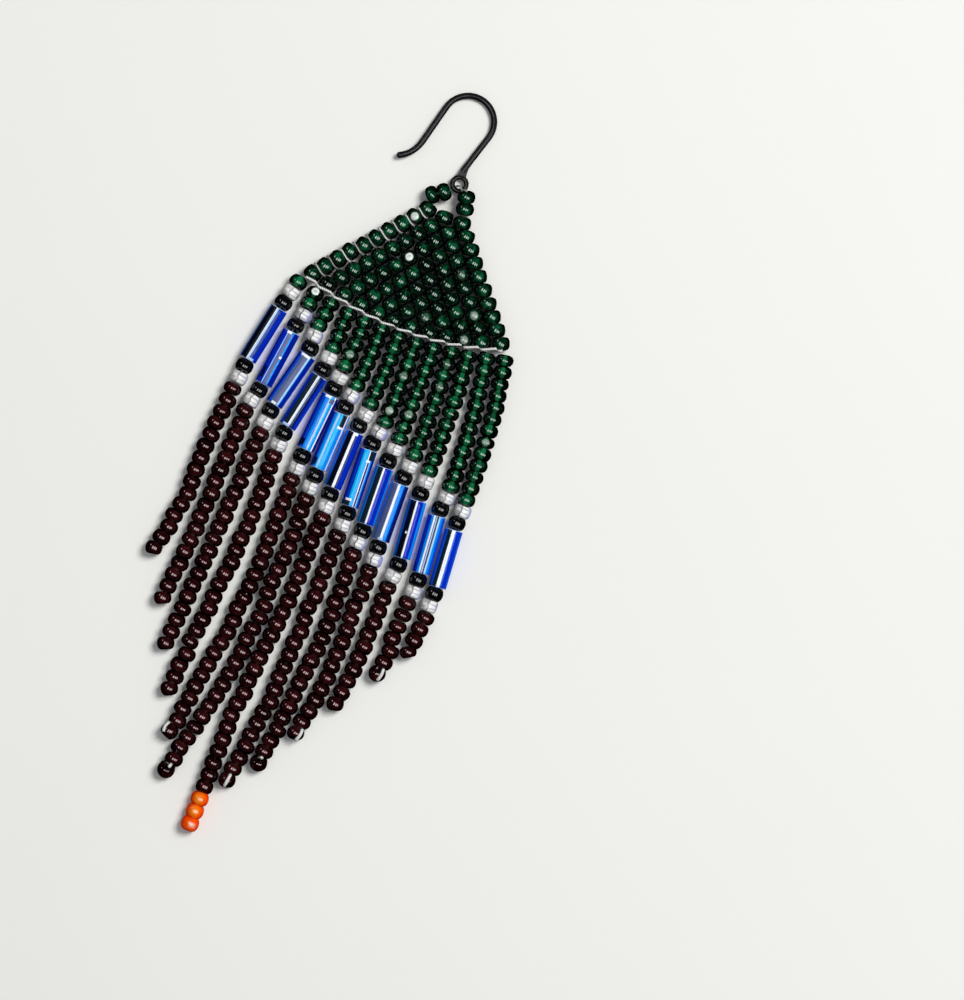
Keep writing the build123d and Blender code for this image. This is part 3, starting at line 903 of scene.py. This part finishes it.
hanger_at = np.array([(h.x, h.y, h.z) for h in hanger])
lean = np.radians([h.lean for h in hanger])
pitch = np.radians([h.pitch for h in hanger])
flat = np.cos(pitch)
hanger_axes = np.stack([np.sin(lean) * flat, np.cos(lean) * flat, np.sin(pitch)], -1)
green_at.append(hanger_at)
green_axes.append(-hanger_axes)
green_kind.append(np.tile([0.0, 0.0, EDGE_GREEN_GLOW], (len(hanger), 1)))

green_names = [f"green_string_{n:02d}" for n in range(1, STRANDS + 1)]
brown_names = [f"brown_string_{n:02d}" for n in range(1, STRANDS + 1)]
bugle_names = [f"bugle_bead_{n:02d}" for n in range(1, STRANDS + 1)]

fringe_green = seed_beads("fringe_green_beads", np.vstack(green_at), np.vstack(green_axes), emerald,
                          "green_glass", np.vstack(green_kind), length=1.37, sway=0.08, stray=0.035)
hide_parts("hanger_beads", *green_names)

panel_at, panel_axes, panel_kind, panel_lengths = [], [], [], []
for row in range(ROWS):
    count = TOP_ROW + row
    share = np.linspace(-1, 1, count)
    at = row_point(row, share)
    at[:, 2] += rng.normal(0, 0.03, count)
    slope = row_point(row, share + 0.01) - row_point(row, share - 0.01)
    tilt = rng.normal(0, 0.05, count) * slope[:, 0]
    down_row = unit(np.stack([slope[:, 1], -slope[:, 0], tilt], -1))
    panel_at.append(at)
    panel_axes.append(down_row)
    # a bead takes up the whole step to the next row, which is longer in the middle
    below = row_point(row + 1, np.linspace(-1, 1, 101))
    step = at[:, 1] - np.interp(at[:, 0], below[:, 0], below[:, 1])
    panel_lengths.append(step * np.abs(down_row[:, 1]) * 1.03)
    kind = np.zeros((count, 3))
    # how strong the painted green glow of light through each bead is
    kind[:, 2] = rng.uniform(0.0, EDGE_GREEN_GLOW, count)
    kind[[0, -1], 2] = EDGE_GREEN_GLOW
    set_painted_glares(kind, panel_glares, row, 0)
    panel_kind.append(kind)
panel = seed_beads("stitched_green_beads", np.vstack(panel_at), np.vstack(panel_axes), emerald,
                   "green_glass", np.vstack(panel_kind), length=np.concatenate(panel_lengths),
                   squareness=2.3, lean=0.03, sway=0.06, uneven=0.015, width=1.05, stray=0.04)
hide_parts("brick_panel")

browns = seed_beads("fringe_brown_beads", np.vstack([at[:-1] for at in brown_at]),
                    np.vstack([axes[:-1] for axes in brown_axes]), oxblood, "brown_glass",
                    length=1.46, sway=0.13, stray=0.075)
last = seed_beads("last_brown_beads", np.array([at[-1] for at in brown_at]),
                  np.array([axes[-1] for axes in brown_axes]), oxblood, "brown_glass",
                  length=[turn.long for turn in turns], around=28, wall_angles=FINE_WALL,
                  sway=0.0, lean=0.0, width=1.03)
for piece in (browns, last):
    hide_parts(*brown_names)
clears = seed_beads("clear_beads", np.array(crystal_at), np.array(crystal_axes), clear,
                    "crystal_glass", length=1.38, around=24, wall_angles=FINE_WALL, squareness=2.6,
                    lean=0.05, width=1.03, hole=0.36)
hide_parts("crystal_beads")
blacks = seed_beads("jet_beads", np.array(black_at), np.array(black_axes), jet,
                    "black_glass", length=1.52, around=20, squareness=2.1, lean=0.22, width=1.05)
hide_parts("black_beads")
oranges = seed_beads("orange_tip_beads", orange_at, orange_axes, tangerine,
                     "orange_glass", orange_kind, length=1.6, around=24, lean=0.0, width=1.04)
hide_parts("orange_beads")
bugles = bugle_beads("blue_bugles", np.array(bugle_at), np.array(bugle_axes), blue, "blue_glass")
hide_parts(*bugle_names)

# Threads

# Base thread over the meeting of the triangle and the strands. It dips between one strand and
# the next, and each stretch runs a little flatter than the line as a whole.
share = np.linspace(-1, 1, 16 * (STRANDS - 1) + 1)
seam = (row_point(ROWS - 1, share) + row_point(ROWS, share)) / 2
phase = ((share + 1) / 2 * (STRANDS - 1) + 0.3) % 1
dip = np.exp(-((np.minimum(phase, 1 - phase) / 0.09) ** 2))
seam[:, 1] += 0.36 * (phase - 0.5) * (1 - dip)
seam[:, 2] = SEAM_TOP - 0.5 * dip
thread_paths.append((seam, 1.3 * THREAD_RADIUS, 0))
# Threads between the rows, deep between the beads and painted dark green there for their shade,
# that come up steeply at the left edge, and the side stitches at both edges, also painted darker
# for shade
for row in range(ROWS - 1):
    gaps = TOP_ROW + row
    from_left = np.linspace(ROW_THREAD_START, gaps, 12 * gaps + 1)
    share = from_left * 2 / gaps - 1
    line = (row_point(row, share) + row_point(row + 1, share)) / 2
    outside = np.exp(-((from_left / 0.5) ** 2))
    line[:, 1] -= 1.1 * from_left * outside
    line[:, 2] = ROW_THREAD_HEIGHT + 0.95 * outside
    # the row threads take painted dark green shade, except for a random share near the left edge
    shown = outside * rng.uniform(0.45, 1.0)
    thread_paths.append((line, THREAD_RADIUS * (1.8 - 1.05 * outside[:, None, None]), 1 - shown))
    for side in (-1, 1):
        ends = row_point(row, side), row_point(row + 1, side)
        t = np.linspace(0, 1, 9)[:, None]
        stitch = ends[0] * (1 - t) + ends[1] * t
        stitch[:, 0] += side * 0.5 * np.sin(np.pi * t[:, 0])
        stitch[:, 2] = STITCH_HEIGHT
        # the side stitches take painted dark green shade at 0.7
        thread_paths.append((stitch, 0.8 * THREAD_RADIUS, 0.7))
threads = tubes("white_threads", thread_paths, white, "thread")
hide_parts("accent_threads")

for node, material in (("ear_hook", hook_wire()), ("hanger_thread", loop_thread())):
    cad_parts[node].data.materials.clear()
    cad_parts[node].data.materials.append(material)

# Stage


def photo_direction(right, up):
    """A direction on the table from one in the picture."""
    c, s = np.cos(CAMERA_TURN), np.sin(CAMERA_TURN)
    return np.array([right * c - up * s, right * s + up * c, 0.0])


def soft_light(light):
    """A rectangular light above the picture's middle that faces it, with its spin in radians."""
    lamp = bpy.data.lights.new(light.name, "AREA")
    lamp.shape = "RECTANGLE"
    lamp.size, lamp.size_y = light.wide * MM, light.high * MM
    lamp.energy, lamp.color = light.power, light.colour
    place = photo_direction(light.right, light.up) * light.distance + UP * light.rise
    back = unit(place)
    helper = photo_direction(np.cos(light.spin), np.sin(light.spin))
    side = unit(helper - (helper @ back) * back)
    matrix = np.eye(4)
    matrix[:3, 0], matrix[:3, 1], matrix[:3, 2] = side, np.cross(back, side), back
    matrix[:3, 3] = (PICTURE_MIDDLE + place) * MM
    thing = bpy.data.objects.new(light.name, lamp)
    bpy.context.scene.collection.objects.link(thing)
    thing.matrix_world = Matrix(matrix.tolist())
    thing.visible_glossy, thing.visible_diffuse = light.glossy, light.diffuse


corners = np.array([(-1, -1, 0), (1, -1, 0), (1, 1, 0), (-1, 1, 0)]) * TABLE_HALF
floor = mesh_object("table", corners - EYE, [[0, 1, 2, 3]], table_top())
floor.visible_glossy = False

for light in lights:
    soft_light(light)

world = bpy.data.worlds.new("room")
world.use_nodes = True
background = world.node_tree.nodes["Background"]
background.inputs["Color"].default_value = (0.93, 0.95, 1.0, 1)
background.inputs["Strength"].default_value = 0.28
world.cycles_visibility.glossy = False
bpy.context.scene.world = world

camera = bpy.data.cameras.new("camera")
camera.lens = camera.sensor_width * CAMERA_HEIGHT * PIXELS_A_MM / PICTURE_PIXELS
camera.clip_start, camera.clip_end = 0.01, 10
camera_object = bpy.data.objects.new("camera", camera)
camera_object.location = (PICTURE_MIDDLE + UP * CAMERA_HEIGHT) * MM
camera_object.rotation_euler = (0, 0, CAMERA_TURN)
bpy.context.scene.collection.objects.link(camera_object)
bpy.context.scene.camera = camera_object
bpy.context.scene.view_settings.view_transform = "Standard"
